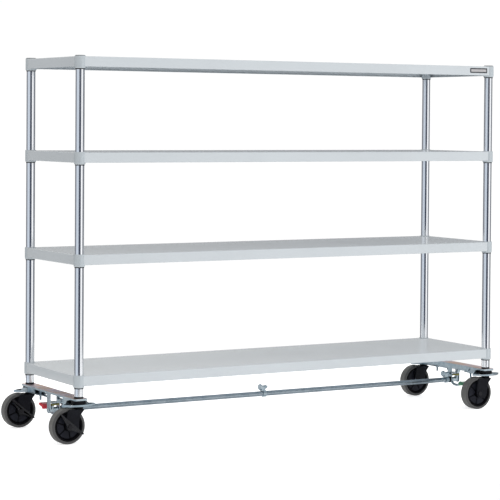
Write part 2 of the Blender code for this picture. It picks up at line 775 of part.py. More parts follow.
def crank_shaft_mesh(lean_sign):
    """A crank shaft about X, its head towards -X; the crank leans by lean_sign."""
    cheek_outer = cheek_spacing / 2
    head_face = -cheek_outer - seat_gap
    head_end = head_face - shaft_head_height
    reach = cheek_outer - cheek_sheet - crank_side_room
    collar_face = cheek_outer + seat_gap
    collar_end = collar_face + shaft_collar_length
    plug_radius = tube_radius - tube_wall - seat_gap
    shaft = revolve("crank_shaft", [
        (0, head_end), (shaft_head_radius - cap_edge, head_end),
        (shaft_head_radius, head_end + cap_edge), (shaft_head_radius, head_face),
        (journal_radius, head_face), (journal_radius, -reach),
        (pedal_boss_radius, -reach), (pedal_boss_radius, reach), (journal_radius, reach),
        (journal_radius, collar_face), (shaft_collar_radius, collar_face),
        (shaft_collar_radius, collar_end), (plug_radius, collar_end),
        (plug_radius, collar_end + shaft_plug_length), (0, collar_end + shaft_plug_length),
    ], tube_sides, "X")
    steps = 6
    spread = math.acos((crank_eye_radius - crank_pin_radius) / crank_radius)
    outline = []
    for step in range(steps + 1):
        angle = math.pi / 2 + spread + (math.tau - 2 * spread) * step / steps
        outline.append((crank_eye_radius * math.cos(angle), crank_eye_radius * math.sin(angle)))
    for step in range(steps + 1):
        angle = math.pi / 2 - spread + 2 * spread * step / steps
        outline.append((crank_pin_radius * math.cos(angle),
                        crank_radius + crank_pin_radius * math.sin(angle)))
    arm = prism("arm", outline, -crank_arm_offset - crank_arm_width, -crank_arm_offset,
                across="X")
    pin = moved(rod("pin", crank_pin_radius, -reach, reach, small_sides, "X"),
                (0, 0, crank_radius))
    crank = moved(weld(arm, pin), turn=lean_sign * crank_rest_angle, axis="X")
    return weld(shaft, crank)


def tube_mesh(start):
    """One of the two tubes, from the middle coupling to a crank shaft's collar."""
    inner = tube_radius - tube_wall
    end = post_x - cheek_spacing / 2 - seat_gap - shaft_collar_length - seat_gap
    return revolve("brake_tube", [(inner, start), (tube_radius, start), (tube_radius, end),
                                  (inner, end)], tube_sides, "X", hollow=True)


def coupling_mesh():
    """A collar on the tube with an upright lug and a bolt along X through the lug."""
    bore = tube_radius + seat_gap
    outer = bore + coupling_wall
    half = coupling_length / 2
    ring = revolve("coupling", [(bore, -half), (outer, -half), (outer, half), (bore, half)],
                   tube_sides, "X", hollow=True)
    lug_half = coupling_lug_width / 2
    lug_start = -half - coupling_lug_overhang
    lug_end = half - coupling_wall
    steps = 4
    crest = []
    for step in range(steps + 1):
        angle = math.pi * step / steps
        crest.append((lug_half * math.cos(angle),
                      coupling_bolt_rise + lug_half * math.sin(angle)))
    foot = bore + seat_gap
    lug = prism("lug", [(lug_half, foot)] + crest + [(-lug_half, foot)], lug_start, lug_end,
                across="X")
    bolt = weld(
        hexagon("head", coupling_head_radius, lug_start - coupling_head_height,
                lug_start + weld_depth, "X"),
        rod("bolt", coupling_bolt_radius, lug_start, lug_end + 2 * coupling_nut_height,
            small_sides, "X"),
        hexagon("nut", coupling_nut_radius, lug_end - weld_depth,
                lug_end + coupling_nut_height, "X"))
    return weld(ring, lug, moved(bolt, (0, 0, coupling_bolt_rise)))


def pedal_bar_mesh():
    """A round bar swept along a path: down from the boss, under it, then out and up."""
    path = [(pedal_reach * y_share, pedal_drop * z_share)
            for y_share, z_share in pedal_bar_shares]
    curve = bpy.data.curves.new("pedal_bar", "CURVE")
    curve.dimensions = "3D"
    curve.bevel_depth = pedal_bar_radius
    curve.bevel_resolution = pedal_bar_sides // 4 - 1
    curve.use_fill_caps = True
    spline = curve.splines.new("POLY")
    spline.points.add(len(path) - 1)
    for point, (y, z) in zip(spline.points, path):
        point.co = (0, y, z, 1)
    item = bpy.data.objects.new("pedal_bar", curve)
    bpy.context.scene.collection.objects.link(item)
    return joined([evaluated(item)])


def pad_mesh():
    """A moulded pad with rounded edges and a skirt down over the bar's end."""
    outline = [(pad_depth * y_share, pad_height * z_share) for y_share, z_share in pad_shares]
    mesh = prism("pedal_pad", outline, -pad_length / 2, pad_length / 2, across="X")
    bm = bmesh.new()
    bm.from_mesh(mesh)
    rim = [edge for edge in bm.edges
           if abs(edge.verts[0].co.x - edge.verts[1].co.x) < seat_gap]
    bmesh.ops.bevel(bm, geom=rim, offset=pad_edge / 2, segments=1, profile=0.5,
                    affect="EDGES", material=-1)
    return mesh_from(bm, "pedal_pad")


def make_brake_shaft(zinc, red, green):
    """Everything that turns with the brake shaft, about X at the shaft's height."""
    axis = joint_frame("brake_shaft_axis", (rack_x, 0, shaft_height))
    coupling = coupling_mesh()
    bar = pedal_bar_mesh()
    pad = pad_mesh()
    node("tube_coupling_middle", coupling, zinc, parent=axis,
         location=(middle_coupling_x, 0, 0))
    pads = {"left": ("lock", red, 1), "right": ("release", green, -1)}
    for end, sign in ends:
        turn = math.pi if sign < 0 else 0
        centre = sign * post_x
        start = sign * middle_coupling_x + seat_gap / 2
        node(f"brake_tube_{end}", tube_mesh(start), zinc, parent=axis, turn=turn)
        node(f"crank_shaft_{end}", crank_shaft_mesh(-sign), zinc, parent=axis,
             location=(centre, 0, 0), turn=turn + math.pi)
        node(f"tube_coupling_{end}", coupling, zinc, parent=axis,
             location=(centre - sign * end_coupling_offset, 0, 0), turn=turn)
        purpose, colour, tilt_sign = pads[end]
        pedal = joint_frame(f"pedal_seat_{end}", (centre, 0, 0), turn=turn + math.pi,
                            parent=axis)
        for name, mesh, material, place in (
                (f"pedal_bar_{end}", bar, zinc, (pedal_bar_offset, 0, 0)),
                (f"pedal_pad_{purpose}", pad, colour, (0, pedal_reach + seat_gap, 0))):
            item = node(name, mesh.copy(), material, parent=pedal)
            item.data.transform(Matrix.Translation(place))
            item.data.transform(Matrix.Rotation(tilt_sign * pedal_rest_angle, 4, "X"))


def build():
    clear_scene()
    paint = principled("light_grey_paint", (0.66, 0.70, 0.72), 0.45, 0.0)
    plated = principled("bright_plating", (0.72, 0.75, 0.80), 0.18, 1.0)
    zinc = principled("zinc_plating", (0.56, 0.60, 0.66), 0.32, 1.0)
    dark_steel = principled("black_steel", (0.05, 0.05, 0.056), 0.4, 0.9)
    black_nylon = principled("black_nylon", (0.022, 0.022, 0.026), 0.45, 0.0)
    dark_nylon = principled("wheel_nylon", (0.03, 0.03, 0.036), 0.5, 0.0)
    rubber = principled("grey_rubber", (0.20, 0.20, 0.205), 0.7, 0.0)
    black_rubber = principled("black_rubber", (0.015, 0.015, 0.018), 0.75, 0.0)
    red = principled("red_plastic", (0.55, 0.03, 0.05), 0.4, 0.0)
    green = principled("green_plastic", (0.06, 0.32, 0.12), 0.4, 0.0)
    make_shelves(paint)
    make_posts(plated, black_nylon, black_rubber)
    make_beams(zinc)
    make_casters(black_nylon, dark_nylon, rubber, dark_steel)
    make_ring_levers(zinc)
    make_brake_shaft(zinc, red, green)


build()
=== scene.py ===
import math

import bmesh
import bpy
from mathutils import Matrix, Vector


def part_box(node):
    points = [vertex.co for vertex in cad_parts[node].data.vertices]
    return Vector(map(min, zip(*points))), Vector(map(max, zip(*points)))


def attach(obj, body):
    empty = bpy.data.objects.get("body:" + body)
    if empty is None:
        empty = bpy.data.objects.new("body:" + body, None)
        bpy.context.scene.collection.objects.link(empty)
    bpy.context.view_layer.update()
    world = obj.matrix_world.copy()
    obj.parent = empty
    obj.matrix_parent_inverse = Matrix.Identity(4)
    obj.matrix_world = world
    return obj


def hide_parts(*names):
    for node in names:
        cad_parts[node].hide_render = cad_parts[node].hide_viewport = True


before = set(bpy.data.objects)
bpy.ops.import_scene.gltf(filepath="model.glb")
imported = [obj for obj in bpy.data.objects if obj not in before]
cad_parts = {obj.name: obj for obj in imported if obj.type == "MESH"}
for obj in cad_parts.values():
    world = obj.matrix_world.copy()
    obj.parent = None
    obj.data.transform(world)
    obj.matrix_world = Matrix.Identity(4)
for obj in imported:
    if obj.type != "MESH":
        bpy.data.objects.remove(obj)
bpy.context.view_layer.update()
mm = 0.001

# Shelf trays. Each is one steel sheet, folded down on four sides and turned in along
# the bottom, with its corners cut away for the collars that are welded there. The
# whole shelf is powder coated in a light grey, with a fine orange peel in the coat.
shelf_names = ("shelf_bottom", "shelf_lower_middle", "shelf_upper_middle", "shelf_top")
shelf_low, shelf_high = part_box("shelf_top")
collar_proud = 2.8 * mm
collar_rise = 1.5 * mm
collar_drop = 6.5 * mm
tray_length = shelf_high.x - shelf_low.x - 2 * collar_proud
tray_depth = shelf_high.y - shelf_low.y - 2 * collar_proud
face_height = shelf_high.z - shelf_low.z - collar_rise - collar_drop
sheet = 1.5 * mm
lip_width = 14 * mm
fold_radius = 2.4 * mm
post_low, post_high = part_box("post_front_left")
post_radius = (post_high.x - post_low.x) / 2
rack_x = (shelf_low.x + shelf_high.x) / 2
post_x = rack_x - (post_low.x + post_high.x) / 2
post_y = -(post_low.y + post_high.y) / 2
collar_radius = (shelf_high.x - shelf_low.x) / 2 - post_x
corner_signs = [(x_sign, y_sign) for x_sign in (-1, 1) for y_sign in (-1, 1)]
paint_light = (0.553, 0.592, 0.622, 1)
paint_shade = (0.531, 0.570, 0.599, 1)
drift_scale = 2.5
peel_scale = 700
peel_depth = 0.012 * mm
coat_roughness = 0.13


class Wire:
    """One socket of a material's nodes, so that a finish is written as arithmetic."""

    def __init__(self, tree, socket):
        self.tree = tree
        self.socket = socket

    def node(self, kind, settings=None, values=None, output=0):
        """Add a node, with its settings first and then the values of its sockets."""
        made = self.tree.nodes.new(kind)
        for name, value in (settings or {}).items():
            if name == "stops":
                ramp = made.color_ramp.elements
                while len(ramp) < len(value):
                    ramp.new(0)
                for stop, (place, colour) in zip(ramp, value):
                    stop.position = place
                    stop.color = colour
            else:
                setattr(made, name, value)
        for name, value in (values or {}).items():
            if isinstance(value, Wire):
                self.tree.links.new(value.socket, made.inputs[name])
            else:
                made.inputs[name].default_value = value
        return Wire(self.tree, made.outputs[output])

    def combine(self, operation, first, second):
        return self.node("ShaderNodeMath", {"operation": operation}, {0: first, 1: second})

    def __add__(self, other):
        return self.combine("ADD", self, other)

    def __mul__(self, other):
        return self.combine("MULTIPLY", self, other)

    def __sub__(self, other):
        return self.combine("SUBTRACT", self, other)

    def __rsub__(self, other):
        return self.combine("SUBTRACT", other, self)

    def __pow__(self, other):
        return self.combine("POWER", self, other)

    def __abs__(self):
        return self.combine("ABSOLUTE", self, 0)

    __radd__ = __add__
    __rmul__ = __mul__

    def axis(self, letter):
        """One of the three numbers in a place or a direction."""
        return self.node("ShaderNodeSeparateXYZ", None, {0: self},
                         output="XYZ".index(letter))

    def stretched(self, x, y, z):
        """The same coordinates, scaled along each axis, for streaks and drawn lines."""
        return self.node("ShaderNodeMapping", {"vector_type": "POINT"},
                         {"Vector": self, "Scale": (x, y, z)})

    def noise(self, scale, detail=2.0):
        return self.node("ShaderNodeTexNoise", None,
                         {"Vector": self, "Scale": scale, "Detail": detail})

    def between(self, low, high):
        """A value that climbs softly from 0 to 1 as this one goes from low to high."""
        return self.node("ShaderNodeMapRange", {"interpolation_type": "SMOOTHSTEP"},
                         {"Value": self, "From Min": low, "From Max": high})

    def blend(self, first, second):
        """The first colour where this is 0, and the second where it is 1."""
        return self.node("ShaderNodeMix", {"data_type": "RGBA"},
                         {0: self, 6: first, 7: second}, output=2)

    def relief(self, depth, strength=1.0):
        """A bump normal from this height."""
        return self.node("ShaderNodeBump", None,
                         {"Height": self, "Distance": depth, "Strength": strength})


def new_finish(name, metallic=0.0, coat=0.0):
    """A material with its shader, and the piece's own coordinates in metres."""
    material = bpy.data.materials.new(name)
    material.use_nodes = True
    tree = material.node_tree
    shader = tree.nodes["Principled BSDF"]
    shader.inputs["Metallic"].default_value = metallic
    shader.inputs["Coat Weight"].default_value = coat
    coordinates = tree.nodes.new("ShaderNodeTexCoord")
    return material, shader, Wire(tree, coordinates.outputs["Object"])


def feed(shader, **wires):
    """Join wires to the shader's sockets, named with _ for a space."""
    for name, wire in wires.items():
        wire.tree.links.new(wire.socket, shader.inputs[name.replace("_", " ")])


def powder_coat(name, light, shade):
    """A smooth baked paint that drifts slowly in tone and has a fine orange peel."""
    material, shader, place = new_finish(name)
    drift = place.noise(drift_scale, 3.0)
    peel = place.noise(peel_scale)
    feed(shader, Base_Color=drift.between(0.35, 0.65).blend(light, shade),
         Roughness=coat_roughness + drift * 0.05, Normal=peel.relief(peel_depth, 0.2))
    return material


def settled(bm, name, smooth_angle=35):
    """Turn a finished bmesh into a smooth-shaded object at the origin."""
    bmesh.ops.remove_doubles(bm, verts=bm.verts, dist=0.005 * mm)
    bmesh.ops.recalc_face_normals(bm, faces=bm.faces)
    mesh = bpy.data.meshes.new(name)
    bm.to_mesh(mesh)
    bm.free()
    mesh.shade_smooth()
    mesh.set_sharp_from_angle(angle=math.radians(smooth_angle))
    piece = bpy.data.objects.new(name, mesh)
    bpy.context.scene.collection.objects.link(piece)
    return piece


def evaluated(piece, *helpers):
    """Apply a piece's modifiers, and remove the objects that they used."""
    graph = bpy.context.evaluated_depsgraph_get()
    mesh = bpy.data.meshes.new_from_object(piece.evaluated_get(graph))
    piece.modifiers.clear()
    piece.data = mesh
    for helper in helpers:
        bpy.data.objects.remove(helper, do_unlink=True)
    return piece


def even_shading(piece):
    """Keep flat faces flat beside their rounded edges."""
    weigh = piece.modifiers.new("even shading", "WEIGHTED_NORMAL")
    weigh.keep_sharp = True
    return piece


def copy_at(piece, name, shift):
    """A copy of a piece with its place in its mesh."""
    twin = piece.copy()
    twin.data = piece.data.copy()
    twin.name = name
    twin.data.transform(Matrix.Translation(shift))
    bpy.context.scene.collection.objects.link(twin)
    return twin


def dress(piece, material, body, slot, *nodes):
    """Give a piece its finish, the body that it moves with and the solids it stands for."""
    piece.data.materials.clear()
    piece.data.materials.append(material)
    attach(piece, body)
    if nodes:
        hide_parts(*nodes)
    return piece


def box_between(bm, low, high):
    """Add a box between two corners to a bmesh."""
    made = bmesh.ops.create_cube(bm, size=1)["verts"]
    size = Vector(high) - Vector(low)
    bmesh.ops.scale(bm, vec=size, verts=made)
    bmesh.ops.translate(bm, vec=(Vector(low) + Vector(high)) / 2, verts=made)
    return made


def round_edges(bm, edges, radius, segments=2, clamped=True):
    """Round some edges of a bmesh."""
    bmesh.ops.bevel(bm, geom=edges, offset=radius, segments=segments, profile=0.5,
                    affect="EDGES", clamp_overlap=clamped, material=-1)


def sheet_wall(piece):
    """Give a folded surface the thickness of the sheet, on its inner side."""
    wall = piece.modifiers.new("wall", "SOLIDIFY")
    wall.thickness = sheet
    wall.offset = -1
    wall.use_even_offset = True


def turned(profile, steps, name, hollow=False, smooth_angle=35):
    """Spin (radius, height) points about Z into a closed, smooth piece."""
    bm = bmesh.new()
    points = [bm.verts.new((radius, 0, height)) for radius, height in profile]
    for first, second in zip(points, points[1:]):
        bm.edges.new((first, second))
    if hollow:
        bm.edges.new((points[-1], points[0]))
    bmesh.ops.spin(bm, geom=bm.verts[:] + bm.edges[:], cent=(0, 0, 0), axis=(0, 0, 1),
                   angle=math.tau, steps=steps, use_merge=True)
    return settled(bm, name, smooth_angle)


def tray():
    """The folded sheet, with the collars' room cut out of its corners."""
    bm = bmesh.new()
    box_between(bm, (-tray_length / 2, -tray_depth / 2, -face_height),
                (tray_length / 2, tray_depth / 2, 0))
    bottom = [face for face in bm.faces if face.normal.z < -0.5]
    bmesh.ops.inset_region(bm, faces=bottom, thickness=lip_width, depth=0)
    bmesh.ops.delete(bm, geom=bottom, context="FACES")
    folds = [edge for edge in bm.edges if edge.is_manifold and edge.calc_face_angle() > 1]
    round_edges(bm, folds, fold_radius, 3, clamped=False)
    piece = settled(bm, "tray")
    sheet_wall(piece)
    past = 3 * collar_drop
    squares = bmesh.new()
    for x_sign, y_sign in corner_signs:
        xs = sorted((x_sign * post_x, x_sign * (post_x + collar_radius)))
        ys = sorted((y_sign * post_y, y_sign * (post_y + collar_radius)))
        box_between(squares, (xs[0], ys[0], -face_height - past), (xs[1], ys[1], past))
    rounds = bmesh.new()
    for x_sign, y_sign in corner_signs:
        bmesh.ops.create_cone(rounds, cap_ends=True, segments=64, radius1=collar_radius,
                              radius2=collar_radius, depth=2 * (face_height + past),
                              matrix=Matrix.Translation((x_sign * post_x, y_sign * post_y, 0)))
    helpers = [settled(squares, "squares"), settled(rounds, "rounds")]
    for helper in helpers:
        notch = piece.modifiers.new("notch", "BOOLEAN")
        notch.operation = "DIFFERENCE"
        notch.object = helper
    evaluated(piece, *helpers)
    piece.data.set_sharp_from_angle(angle=math.radians(50))
    return even_shading(piece)


coat = powder_coat("light_grey_powder_coat", paint_light, paint_shade)
plain_tray = tray()
for shelf in shelf_names:
    low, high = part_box(shelf)
    sheet_metal = copy_at(plain_tray, shelf + "_tray", (rack_x, 0, high.z - collar_rise))
    dress(sheet_metal, coat, "rack", "light_grey_paint", shelf)
bpy.data.objects.remove(plain_tray, do_unlink=True)

# Stiffeners. A channel folded from the same sheet is spot welded under each tray, along
# its middle, so that a loaded shelf doesn't sag. It stops short of the posts.
stiffener_width = 80 * mm
stiffener_depth = 24 * mm
stiffener_clearance = 70 * mm
stiffener_reach = post_x - stiffener_clearance


def stiffener():
    bm = bmesh.new()
    box_between(bm, (-stiffener_reach, -stiffener_width / 2, -sheet - stiffener_depth),
                (stiffener_reach, stiffener_width / 2, -sheet))
    open_sides = [face for face in bm.faces if face.normal.z > 0.5 or abs(face.normal.x) > 0.5]
    bmesh.ops.delete(bm, geom=open_sides, context="FACES")
    folds = [edge for edge in bm.edges if edge.is_manifold]
    round_edges(bm, folds, fold_radius, 3, clamped=False)
    piece = settled(bm, "stiffener")
    sheet_wall(piece)
    return even_shading(evaluated(piece))


plain_stiffener = stiffener()
for shelf in shelf_names:
    low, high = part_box(shelf)
    channel = copy_at(plain_stiffener, shelf + "_stiffener",
                      (rack_x, 0, high.z - collar_rise))
    dress(channel, coat, "rack", "light_grey_paint")
bpy.data.objects.remove(plain_stiffener, do_unlink=True)

# Collars. A turned steel tube is welded into each corner of a tray and powder coated
# with it. Its foot is drawn in to a rounded rim, just clear of the post inside.
collar_height = shelf_high.z - shelf_low.z
collar_foot = 5.2 * mm
collar_foot_turn = 62
collar_edge = 0.6 * mm
post_room = 0.25 * mm
# Painted shade: the collars' grey is darker than the tray's, though both wear the same powder
# coat.
collar_shaded_paint = (0.450, 0.495, 0.526, 1)


def arc(centre, radius, start, end, steps):
    """Points on a turned profile's round stretch, from one angle to another in degrees."""
    angles = [math.radians(start + (end - start) * step / steps) for step in range(steps + 1)]
    return [(centre[0] + radius * math.cos(angle), centre[1] + radius * math.sin(angle))
            for angle in angles]


def collar():
    bore = post_radius + post_room
    top = collar_rise
    foot = top - collar_height
    profile = [(bore, top)]
    profile += arc((collar_radius - collar_edge, top - collar_edge), collar_edge, 90, 0, 4)
    profile += arc((collar_radius - collar_foot, foot + collar_foot), collar_foot,
                   0, -collar_foot_turn, 6)
    profile += [(bore, foot)]
    return turned(profile, 64, "collar", hollow=True)


corners = [(end, side, rack_x + x_sign * post_x, y_sign * post_y)
           for end, x_sign in (("left", -1), ("right", 1))
           for side, y_sign in (("front", -1), ("rear", 1))]
plain_collar = collar()
# The collars' coat is a darker copy of the tray's, as painted shade.
collar_shaded_coat = powder_coat("collar_powder_coat_shaded", collar_shaded_paint, collar_shaded_paint)
for shelf in shelf_names:
    low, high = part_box(shelf)
    for end, side, x, y in corners:
        ring = copy_at(plain_collar, f"{shelf}_collar_{side}_{end}",
                       (x, y, high.z - collar_rise))
        dress(ring, collar_shaded_coat, "rack", "light_grey_paint")
bpy.data.objects.remove(plain_collar, do_unlink=True)

# Posts. Four round steel tubes, drawn and bright plated, run through all the collars
# from the feet to the caps. The plating keeps faint lines along the tube.
post_wall = 1.6 * mm
post_chamfer = 0.4 * mm
plating_colour = (0.86, 0.88, 0.91, 1)
lines_across = 900
lines_along = 2
line_depth = 0.002 * mm


def bright_plating():
    """A mirror-like metal with fine lines along Z, as a drawn tube has."""
    material, shader, place = new_finish("bright_plating", metallic=1.0)
    drawn = place.stretched(lines_across, lines_across, lines_along).noise(1.0)
    shader.inputs["Base Color"].default_value = plating_colour
    feed(shader, Roughness=0.10 + drawn * 0.07, Normal=drawn.relief(line_depth, 0.35))
    return material


def post():
    low, high = post_low.z, post_high.z
    inner = post_radius - post_wall
    return turned([
        (inner, low), (post_radius - post_chamfer, low), (post_radius, low + post_chamfer),
        (post_radius, high - post_chamfer), (post_radius - post_chamfer, high), (inner, high),
    ], 64, "post", hollow=True)


plating = bright_plating()
plain_post = post()
for end, side, x, y in corners:
    tube = copy_at(plain_post, f"post_{side}_{end}_tube", (x, y, 0))
    dress(tube, plating, "rack", "bright_plating", f"post_{side}_{end}")
bpy.data.objects.remove(plain_post, do_unlink=True)

# Post caps and feet. A moulded plug closes the top of each post, and a rubber ring
# with a spigot carries its lower end on the beam, round the caster's stem.
cap_low, cap_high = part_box("post_cap_front_left")
cap_radius = (cap_high.x - cap_low.x) / 2
cap_flange = 2 * mm
cap_round = 1 * mm
foot_low, foot_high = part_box("post_foot_front_left")
foot_height = 5 * mm
stem_room = 6.3 * mm
ring_round = 0.8 * mm
nylon_grain_scale = 1400
nylon_cloud_scale = 30
nylon_grain_depth = 0.02 * mm
nylon_lightening = 1.5


def moulded_black(name, colour, roughness, shine=0.09):
    """A dark plastic, rubber or steel with a fine grain, uneven in tone and gloss."""
    material, shader, place = new_finish(name)
    shader.inputs["Specular IOR Level"].default_value = shine
    grain = place.noise(nylon_grain_scale)
    cloud = place.noise(nylon_cloud_scale)
    lighter = tuple(nylon_lightening * channel for channel in colour[:3]) + (1,)
    feed(shader, Base_Color=cloud.between(0.3, 0.7).blend(colour, lighter),
         Roughness=roughness + 0.12 * cloud, Normal=grain.relief(nylon_grain_depth, 0.5))
    return material


def post_cap():
    plug = post_radius - post_wall - post_room
    under = cap_high.z - cap_flange
    profile = [(0, cap_low.z), (plug, cap_low.z), (plug, under),
               (cap_radius - post_chamfer, under)]
    profile += arc((cap_radius - cap_round, cap_high.z - cap_round), cap_round, 0, 90, 5)
    profile += [(0, cap_high.z)]
    return turned(profile, 48, "post_cap")


def post_foot():
    spigot = post_radius - post_wall - post_room
    shoulder = foot_low.z + foot_height
    profile = [(stem_room, foot_low.z)]
    profile += arc((post_radius - ring_round, foot_low.z + ring_round), ring_round, -90, 0, 4)
    profile += arc((post_radius - ring_round, shoulder - ring_round), ring_round, 0, 90, 4)
    profile += [(spigot, shoulder), (spigot, foot_high.z), (stem_room, foot_high.z)]
    return turned(profile, 48, "post_foot", hollow=True)


cap_grey = moulded_black("cap_plastic", (0.09, 0.095, 0.10, 1), 0.40)
black_rubber = moulded_black("black_rubber", (0.012, 0.012, 0.014, 1), 0.55)
plain_cap = post_cap()
plain_foot = post_foot()
for end, side, x, y in corners:
    cap = copy_at(plain_cap, f"post_{side}_{end}_cap", (x, y, 0))
    dress(cap, cap_grey, "rack", "black_nylon", f"post_cap_{side}_{end}")
    foot = copy_at(plain_foot, f"post_{side}_{end}_foot", (x, y, 0))
    dress(foot, black_rubber, "rack", "black_rubber", f"post_foot_{side}_{end}")
for helper in (plain_cap, plain_foot):
    bpy.data.objects.remove(helper, do_unlink=True)

# Post sleeves. A thin black nylon sleeve lines each collar. Its lower rim shows as a dark ring
# under the collar's foot, put there as painted shade for the gap between collar and post.
sleeve_wall = 0.15 * mm
sleeve_room = 0.05 * mm
sleeve_rise = 10 * mm
sleeve_rim = 1.2 * mm
rim_height = 2.8 * mm
rim_round = 0.5 * mm


def sleeve():
    bore = post_radius + sleeve_room
    wall = bore + sleeve_wall
    outer = post_radius + sleeve_rim
    foot = collar_rise - collar_height
    low, high = foot - rim_height, foot - sleeve_room
    profile = [(bore, low)]
    profile += arc((outer - rim_round, low + rim_round), rim_round, -90, 0, 4)
    profile += [(outer, high), (wall, high), (wall, high + sleeve_rise),
                (bore, high + sleeve_rise)]
    return turned(profile, 48, "sleeve", hollow=True)


# Painted shade: the sleeve is near black so that its rim shows as the shade in the gap under
# each collar.
sleeve_shade_black = moulded_black("sleeve_shade_black", (0.012, 0.012, 0.014, 1), 0.45)
plain_sleeve = sleeve()
for shelf in shelf_names:
    low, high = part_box(shelf)
    for end, side, x, y in corners:
        ring = copy_at(plain_sleeve, f"{shelf}_sleeve_{side}_{end}",
                       (x, y, high.z - collar_rise))
        dress(ring, sleeve_shade_black, "rack", "black_nylon")
bpy.data.objects.remove(plain_sleeve, do_unlink=True)

# End beams. Each is a shallow channel pressed from 3 mm steel, with a taller flange on
# its inner side and two welded cheeks that hang down to carry the brake shaft. The zinc
# plating is bluish, and has an iridescent pink and brown cast on the flat top.
beam_edge = 0.7 * mm
zinc_blue = (0.36, 0.45, 0.51, 1)
zinc_pale = (0.50, 0.58, 0.63, 1)
zinc_pink = (0.66, 0.53, 0.59, 1)
zinc_brown = (0.68, 0.46, 0.36, 1)
zinc_cloud_scale = 40
zinc_grain_scale = 900
zinc_grain_depth = 0.01 * mm
cast_scale = 14
cast_fade = 0.2 * mm


def zinc_plating(name, top_from=None, blue=zinc_blue, pale=zinc_pale, smooth=0.26):
    """Zinc on steel, with the cast of its passivation above one height if that is given."""
    material, shader, place = new_finish(name, metallic=1.0)
    cloud = place.noise(zinc_cloud_scale, 3.0)
    grain = place.noise(zinc_grain_scale)
    colour = cloud.between(0.35, 0.65).blend(blue, pale)
    if top_from:
        patch = place.noise(cast_scale, 3.0).between(0.42, 0.58).blend(zinc_pink, zinc_brown)
        colour = place.axis("Z").between(top_from - cast_fade, top_from).blend(colour, patch)
    feed(shader, Base_Color=colour, Roughness=smooth + cloud * 0.16,
         Normal=grain.relief(zinc_grain_depth, 0.4))
    return material


def refined(node, name, radius, sharper_than=38):
    """A finer copy of a plain solid: its flat faces made whole and its edges rounded."""
    bm = bmesh.new()
    bm.from_mesh(bpy.data.objects[node].data)
    bmesh.ops.remove_doubles(bm, verts=bm.verts, dist=0.02 * mm)
    bmesh.ops.dissolve_limit(bm, angle_limit=math.radians(1.5), verts=bm.verts,
                             edges=bm.edges)
    rims = [edge for edge in bm.edges
            if edge.is_manifold and edge.calc_face_angle() > math.radians(sharper_than)]
    round_edges(bm, rims, radius)
    return even_shading(settled(bm, name))


beam_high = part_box("end_beam_left")[1]
beam_zinc = zinc_plating("zinc_beam", top_from=beam_high.z - cast_fade / 2)
zinc = zinc_plating("zinc_plating")
for end in ("left", "right"):
    beam = refined(f"end_beam_{end}", f"end_beam_{end}_plated", beam_edge)
    dress(beam, beam_zinc, "rack", "zinc_plating", f"end_beam_{end}")

# Lever bolts. A threaded stud of zinc plated steel is riveted flush into the beam beside
# each caster, with a shoulder under the plate. The ring lever rocks on it, held by the
# nut below.
bolt_low, bolt_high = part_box("lever_bolt_front_left")
bolt_radius = 4 * mm
shoulder_radius = 7 * mm
shoulder_height = 3 * mm
beam_sheet = 3 * mm
seat_gap = 0.3 * mm
shoulder_top = beam_high.z - beam_sheet - seat_gap
thread_pitch = 1.25 * mm
thread_depth = 0.55 * mm
nut_radius = 6.5 * mm
nut_height = 5.5 * mm
nut_top = 129.5 * mm
nut_edge = 0.5 * mm


def threads(low, high, radius):
    """The outline of a thread, as shallow ridges one above the other."""
    count = int((high - low) / thread_pitch)
    points = []
    for ridge in range(count):
        points += [(radius - thread_depth, low + ridge * thread_pitch),
                   (radius, low + (ridge + 0.5) * thread_pitch)]
    return points


def nut(bm, radius, low, high):
    """Add a hexagonal nut about Z, with its edges rounded."""
    made = bmesh.ops.create_cone(bm, cap_ends=True, segments=6, radius1=radius, radius2=radius,
                                 depth=high - low,
                                 matrix=Matrix.Translation((0, 0, (low + high) / 2)))["verts"]
    round_edges(bm, list({edge for vert in made for edge in vert.link_edges}), nut_edge)


def lever_bolt():
    bm = bmesh.new()
    stud = [(0, bolt_low.z), (bolt_radius - thread_depth, bolt_low.z)]
    stud += threads(bolt_low.z + thread_pitch / 2, nut_top + 2 * thread_pitch, bolt_radius)
    stud += [(bolt_radius, shoulder_top - shoulder_height),
             (shoulder_radius - nut_edge, shoulder_top - shoulder_height),
             (shoulder_radius, shoulder_top - shoulder_height + nut_edge),
             (shoulder_radius, shoulder_top), (bolt_radius, shoulder_top),
             (bolt_radius, bolt_high.z), (0, bolt_high.z)]
    body = turned(stud, 32, "stud")
    bm.from_mesh(body.data)
    bpy.data.objects.remove(body, do_unlink=True)
    nut(bm, nut_radius, nut_top - nut_height, nut_top)
    return even_shading(settled(bm, "lever_bolt"))


plain_bolt = lever_bolt()
for end, side, x, y in corners:
    low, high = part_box(f"lever_bolt_{side}_{end}")
    stud = copy_at(plain_bolt, f"lever_bolt_{side}_{end}_plated", (x, (low.y + high.y) / 2, 0))
    dress(stud, zinc, "rack", "zinc_plating", f"lever_bolt_{side}_{end}")
bpy.data.objects.remove(plain_bolt, do_unlink=True)

# Caster heads. A domed black nylon housing is clamped under the beam and holds the
# ball race, with a washer above it and a lip round its lower edge.
head_low, head_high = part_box("caster_head_front_left")
head_radius = (head_high.x - head_low.x) / 2
head_bottom = 133.6 * mm
head_top = shoulder_top
head_top_radius = 17 * mm
race_groove = 0.8 * mm
spigot_radius = 7.5 * mm
stem_radius = 6 * mm
skirt_share = 0.34
dome_share = 0.54
underside_share = 0.94
dome_angles = range(6, 91, 7)


